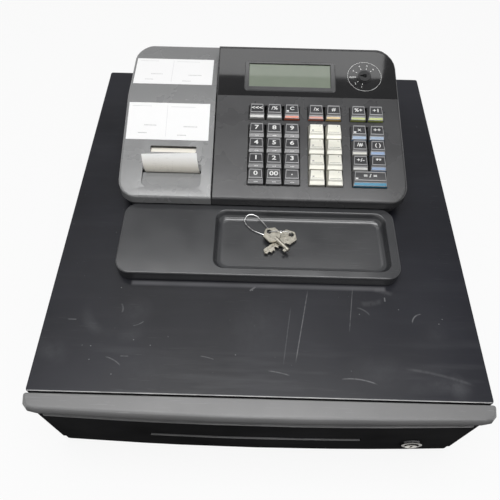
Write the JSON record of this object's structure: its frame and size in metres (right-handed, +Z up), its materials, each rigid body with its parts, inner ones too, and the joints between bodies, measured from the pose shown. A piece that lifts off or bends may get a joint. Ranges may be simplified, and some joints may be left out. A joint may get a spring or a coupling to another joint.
{
  "type": "cash register",
  "caption": "Electronic cash register with sloped keyboard, display and receipt printer on a wide steel cash drawer, with a coin tray and keys in front.",
  "frame": {"origin": "middle of the overall width and depth, on the table under the drawer cabinet's feet", "axes": "+X to the operator's right, +Y from the drawer front to the back, +Z up"},
  "size_m": [0.41, 0.45, 0.2028],
  "materials": {
    "cabinet_steel": "satin blue-black powder coat, scuffed",
    "base_steel": "satin black coat",
    "trim_plastic": "mid-grey moulding with a soft sheen",
    "drawer_steel": "satin black coat",
    "drawer_panel": "satin black coat",
    "lock_metal": "nickel plate",
    "latch_metal": "zinc plate",
    "till_plastic": "fine-textured black",
    "clip_plastic": "black",
    "register_base_plastic": "fine-textured black",
    "case_plastic": "fine-textured dark grey",
    "cover_plastic": "fine-textured light grey",
    "key_frame_plastic": "dark",
    "display_gloss": "polished black",
    "display_glass": "clear over a grey-green display",
    "switch_plastic": "black",
    "printer_metal": "zinc plate",
    "platen_rubber": "ground rubber",
    "paper": "plain white thermal paper",
    "tray_plastic": "dark grey with a soft sheen",
    "key_metal": "worn nickel plate",
    "wire_metal": "bare wire",
    "key_clear": "clear cap over a printed insert",
    "key_cream": "clear cap over a cream insert"
  },
  "bodies": {
    "cabinet": {"cabinet_cover": "cabinet_steel", "cabinet_base": "base_steel", "front_trim": "trim_plastic", "register_base": "register_base_plastic", "register_case": "case_plastic", "key_frame": "key_frame_plastic", "display_panel": "display_gloss", "display_glass": "display_glass", "printer_frame": "printer_metal"},
    "drawer": {"drawer_body": "drawer_steel", "drawer_front": "drawer_panel", "till_tray": "till_plastic"},
    "drawer_lock": {"drawer_lock": "lock_metal"},
    "drawer_latch": {"drawer_latch": "latch_metal"},
    "note_clip_1": {"note_clip_1": "clip_plastic"},
    "note_clip_2": {"note_clip_2": "clip_plastic"},
    "note_clip_3": {"note_clip_3": "clip_plastic"},
    "printer_cover": {"printer_cover": "cover_plastic", "receipt_paper": "paper"},
    "platen_roller": {"platen_roller": "platen_rubber"},
    "paper_roll": {"paper_roll": "paper"},
    "mode_switch": {"mode_switch": "switch_plastic"},
    "coin_tray": {"coin_tray": "tray_plastic"},
    "key_set": {"drawer_key": "key_metal", "mode_key": "key_metal", "key_ring": "wire_metal"},
    "key_digit_0": {"key_digit_0": "key_clear"},
    "key_digit_00": {"key_digit_00": "key_clear"},
    "key_point": {"key_point": "key_clear"},
    "key_digit_1": {"key_digit_1": "key_clear"},
    "key_digit_2": {"key_digit_2": "key_clear"},
    "key_digit_3": {"key_digit_3": "key_clear"},
    "key_digit_4": {"key_digit_4": "key_clear"},
    "key_digit_5": {"key_digit_5": "key_clear"},
    "key_digit_6": {"key_digit_6": "key_clear"},
    "key_digit_7": {"key_digit_7": "key_clear"},
    "key_digit_8": {"key_digit_8": "key_clear"},
    "key_digit_9": {"key_digit_9": "key_clear"},
    "key_item_1": {"key_item_1": "key_cream"},
    "key_item_2": {"key_item_2": "key_cream"},
    "key_item_3": {"key_item_3": "key_cream"},
    "key_item_4": {"key_item_4": "key_cream"},
    "key_item_5": {"key_item_5": "key_cream"},
    "key_item_6": {"key_item_6": "key_cream"},
    "key_item_7": {"key_item_7": "key_cream"},
    "key_item_8": {"key_item_8": "key_cream"},
    "key_wide": {"key_wide": "key_clear"},
    "key_function_1": {"key_function_1": "key_clear"},
    "key_function_2": {"key_function_2": "key_clear"},
    "key_function_3": {"key_function_3": "key_clear"},
    "key_function_4": {"key_function_4": "key_clear"},
    "key_function_5": {"key_function_5": "key_clear"},
    "key_function_6": {"key_function_6": "key_clear"},
    "key_top_1": {"key_top_1": "key_clear"},
    "key_top_2": {"key_top_2": "key_clear"},
    "key_top_3": {"key_top_3": "key_clear"},
    "key_top_4": {"key_top_4": "key_clear"},
    "key_top_5": {"key_top_5": "key_clear"},
    "key_top_6": {"key_top_6": "key_clear"},
    "key_top_7": {"key_top_7": "key_clear"}
  },
  "joints": [
    {"name": "drawer_slide", "type": "slide", "parent": "cabinet", "child": "drawer", "axis": [0, -1, 0], "range_m": [0, 0.3]},
    {"name": "drawer_lock_turn", "type": "hinge", "parent": "drawer", "child": "drawer_lock", "pos_m": [0.1535, -0.2175, 0.033], "axis": [0, 1, 0], "range_deg": [0, 90]},
    {"name": "drawer_latch_pivot", "type": "hinge", "parent": "cabinet", "child": "drawer_latch", "pos_m": [0, 0.2098, 0.0145], "axis": [-1, 0, 0], "range_deg": [0, 13]},
    {"name": "note_clip_1_pivot", "type": "hinge", "parent": "drawer", "child": "note_clip_1", "pos_m": [-0.1372, 0.1727, 0.069], "axis": [-1, 0, 0], "range_deg": [0, 35], "stiffness_Nm_per_rad": 0.06, "springref_deg": -28.65},
    {"name": "note_clip_2_pivot", "type": "hinge", "parent": "drawer", "child": "note_clip_2", "pos_m": [-0.0457, 0.1727, 0.069], "axis": [-1, 0, 0], "range_deg": [0, 35], "stiffness_Nm_per_rad": 0.06, "springref_deg": -28.65},
    {"name": "note_clip_3_pivot", "type": "hinge", "parent": "drawer", "child": "note_clip_3", "pos_m": [0.0457, 0.1727, 0.069], "axis": [-1, 0, 0], "range_deg": [0, 35], "stiffness_Nm_per_rad": 0.06, "springref_deg": -28.65},
    {"name": "printer_cover_lift", "type": "slide", "parent": "cabinet", "child": "printer_cover", "axis": [0, 0, 1], "range_m": [0, 0.06]},
    {"name": "platen_turn", "type": "hinge", "parent": "cabinet", "child": "platen_roller", "pos_m": [-0.0966, 0.0384, 0.1466], "axis": [1, 0, 0], "continuous": true},
    {"name": "paper_roll_turn", "type": "hinge", "parent": "cabinet", "child": "paper_roll", "pos_m": [-0.0966, 0.1494, 0.1576], "axis": [1, 0, 0], "continuous": true},
    {"name": "mode_switch_turn", "type": "hinge", "parent": "cabinet", "child": "mode_switch", "pos_m": [0.1117, 0.1406, 0.1932], "axis": [0, -0.2756, 0.9613], "range_deg": [-140, 70]},
    {"name": "coin_tray_slide", "type": "slide", "parent": "cabinet", "child": "coin_tray", "axis": [0, -1, 0], "range_m": [0, 0.09]},
    {"name": "key_set_lift", "type": "slide", "parent": "coin_tray", "child": "key_set", "axis": [0, 0, 1], "range_m": [0, 0.05]},
    {"name": "key_digit_0_press", "type": "slide", "parent": "cabinet", "child": "key_digit_0", "axis": [0, 0.2756, -0.9613], "range_m": [0, 0.003], "stiffness_N_per_m": 150, "springref_m": -0.0015},
    {"name": "key_digit_00_press", "type": "slide", "parent": "cabinet", "child": "key_digit_00", "axis": [0, 0.2756, -0.9613], "range_m": [0, 0.003], "stiffness_N_per_m": 150, "springref_m": -0.0015},
    {"name": "key_point_press", "type": "slide", "parent": "cabinet", "child": "key_point", "axis": [0, 0.2756, -0.9613], "range_m": [0, 0.003], "stiffness_N_per_m": 150, "springref_m": -0.0015},
    {"name": "key_digit_1_press", "type": "slide", "parent": "cabinet", "child": "key_digit_1", "axis": [0, 0.2756, -0.9613], "range_m": [0, 0.003], "stiffness_N_per_m": 150, "springref_m": -0.0015},
    {"name": "key_digit_2_press", "type": "slide", "parent": "cabinet", "child": "key_digit_2", "axis": [0, 0.2756, -0.9613], "range_m": [0, 0.003], "stiffness_N_per_m": 150, "springref_m": -0.0015},
    {"name": "key_digit_3_press", "type": "slide", "parent": "cabinet", "child": "key_digit_3", "axis": [0, 0.2756, -0.9613], "range_m": [0, 0.003], "stiffness_N_per_m": 150, "springref_m": -0.0015},
    {"name": "key_digit_4_press", "type": "slide", "parent": "cabinet", "child": "key_digit_4", "axis": [0, 0.2756, -0.9613], "range_m": [0, 0.003], "stiffness_N_per_m": 150, "springref_m": -0.0015},
    {"name": "key_digit_5_press", "type": "slide", "parent": "cabinet", "child": "key_digit_5", "axis": [0, 0.2756, -0.9613], "range_m": [0, 0.003], "stiffness_N_per_m": 150, "springref_m": -0.0015},
    {"name": "key_digit_6_press", "type": "slide", "parent": "cabinet", "child": "key_digit_6", "axis": [0, 0.2756, -0.9613], "range_m": [0, 0.003], "stiffness_N_per_m": 150, "springref_m": -0.0015},
    {"name": "key_digit_7_press", "type": "slide", "parent": "cabinet", "child": "key_digit_7", "axis": [0, 0.2756, -0.9613], "range_m": [0, 0.003], "stiffness_N_per_m": 150, "springref_m": -0.0015},
    {"name": "key_digit_8_press", "type": "slide", "parent": "cabinet", "child": "key_digit_8", "axis": [0, 0.2756, -0.9613], "range_m": [0, 0.003], "stiffness_N_per_m": 150, "springref_m": -0.0015},
    {"name": "key_digit_9_press", "type": "slide", "parent": "cabinet", "child": "key_digit_9", "axis": [0, 0.2756, -0.9613], "range_m": [0, 0.003], "stiffness_N_per_m": 150, "springref_m": -0.0015},
    {"name": "key_item_1_press", "type": "slide", "parent": "cabinet", "child": "key_item_1", "axis": [0, 0.2756, -0.9613], "range_m": [0, 0.003], "stiffness_N_per_m": 150, "springref_m": -0.0015},
    {"name": "key_item_2_press", "type": "slide", "parent": "cabinet", "child": "key_item_2", "axis": [0, 0.2756, -0.9613], "range_m": [0, 0.003], "stiffness_N_per_m": 150, "springref_m": -0.0015},
    {"name": "key_item_3_press", "type": "slide", "parent": "cabinet", "child": "key_item_3", "axis": [0, 0.2756, -0.9613], "range_m": [0, 0.003], "stiffness_N_per_m": 150, "springref_m": -0.0015},
    {"name": "key_item_4_press", "type": "slide", "parent": "cabinet", "child": "key_item_4", "axis": [0, 0.2756, -0.9613], "range_m": [0, 0.003], "stiffness_N_per_m": 150, "springref_m": -0.0015},
    {"name": "key_item_5_press", "type": "slide", "parent": "cabinet", "child": "key_item_5", "axis": [0, 0.2756, -0.9613], "range_m": [0, 0.003], "stiffness_N_per_m": 150, "springref_m": -0.0015},
    {"name": "key_item_6_press", "type": "slide", "parent": "cabinet", "child": "key_item_6", "axis": [0, 0.2756, -0.9613], "range_m": [0, 0.003], "stiffness_N_per_m": 150, "springref_m": -0.0015},
    {"name": "key_item_7_press", "type": "slide", "parent": "cabinet", "child": "key_item_7", "axis": [0, 0.2756, -0.9613], "range_m": [0, 0.003], "stiffness_N_per_m": 150, "springref_m": -0.0015},
    {"name": "key_item_8_press", "type": "slide", "parent": "cabinet", "child": "key_item_8", "axis": [0, 0.2756, -0.9613], "range_m": [0, 0.003], "stiffness_N_per_m": 150, "springref_m": -0.0015},
    {"name": "key_wide_press", "type": "slide", "parent": "cabinet", "child": "key_wide", "axis": [0, 0.2756, -0.9613], "range_m": [0, 0.003], "stiffness_N_per_m": 150, "springref_m": -0.0015},
    {"name": "key_function_1_press", "type": "slide", "parent": "cabinet", "child": "key_function_1", "axis": [0, 0.2756, -0.9613], "range_m": [0, 0.003], "stiffness_N_per_m": 150, "springref_m": -0.0015},
    {"name": "key_function_2_press", "type": "slide", "parent": "cabinet", "child": "key_function_2", "axis": [0, 0.2756, -0.9613], "range_m": [0, 0.003], "stiffness_N_per_m": 150, "springref_m": -0.0015},
    {"name": "key_function_3_press", "type": "slide", "parent": "cabinet", "child": "key_function_3", "axis": [0, 0.2756, -0.9613], "range_m": [0, 0.003], "stiffness_N_per_m": 150, "springref_m": -0.0015},
    {"name": "key_function_4_press", "type": "slide", "parent": "cabinet", "child": "key_function_4", "axis": [0, 0.2756, -0.9613], "range_m": [0, 0.003], "stiffness_N_per_m": 150, "springref_m": -0.0015},
    {"name": "key_function_5_press", "type": "slide", "parent": "cabinet", "child": "key_function_5", "axis": [0, 0.2756, -0.9613], "range_m": [0, 0.003], "stiffness_N_per_m": 150, "springref_m": -0.0015},
    {"name": "key_function_6_press", "type": "slide", "parent": "cabinet", "child": "key_function_6", "axis": [0, 0.2756, -0.9613], "range_m": [0, 0.003], "stiffness_N_per_m": 150, "springref_m": -0.0015},
    {"name": "key_top_1_press", "type": "slide", "parent": "cabinet", "child": "key_top_1", "axis": [0, 0.2756, -0.9613], "range_m": [0, 0.003], "stiffness_N_per_m": 150, "springref_m": -0.0015},
    {"name": "key_top_2_press", "type": "slide", "parent": "cabinet", "child": "key_top_2", "axis": [0, 0.2756, -0.9613], "range_m": [0, 0.003], "stiffness_N_per_m": 150, "springref_m": -0.0015},
    {"name": "key_top_3_press", "type": "slide", "parent": "cabinet", "child": "key_top_3", "axis": [0, 0.2756, -0.9613], "range_m": [0, 0.003], "stiffness_N_per_m": 150, "springref_m": -0.0015},
    {"name": "key_top_4_press", "type": "slide", "parent": "cabinet", "child": "key_top_4", "axis": [0, 0.2756, -0.9613], "range_m": [0, 0.003], "stiffness_N_per_m": 150, "springref_m": -0.0015},
    {"name": "key_top_5_press", "type": "slide", "parent": "cabinet", "child": "key_top_5", "axis": [0, 0.2756, -0.9613], "range_m": [0, 0.003], "stiffness_N_per_m": 150, "springref_m": -0.0015},
    {"name": "key_top_6_press", "type": "slide", "parent": "cabinet", "child": "key_top_6", "axis": [0, 0.2756, -0.9613], "range_m": [0, 0.003], "stiffness_N_per_m": 150, "springref_m": -0.0015},
    {"name": "key_top_7_press", "type": "slide", "parent": "cabinet", "child": "key_top_7", "axis": [0, 0.2756, -0.9613], "range_m": [0, 0.003], "stiffness_N_per_m": 150, "springref_m": -0.0015}
  ]
}
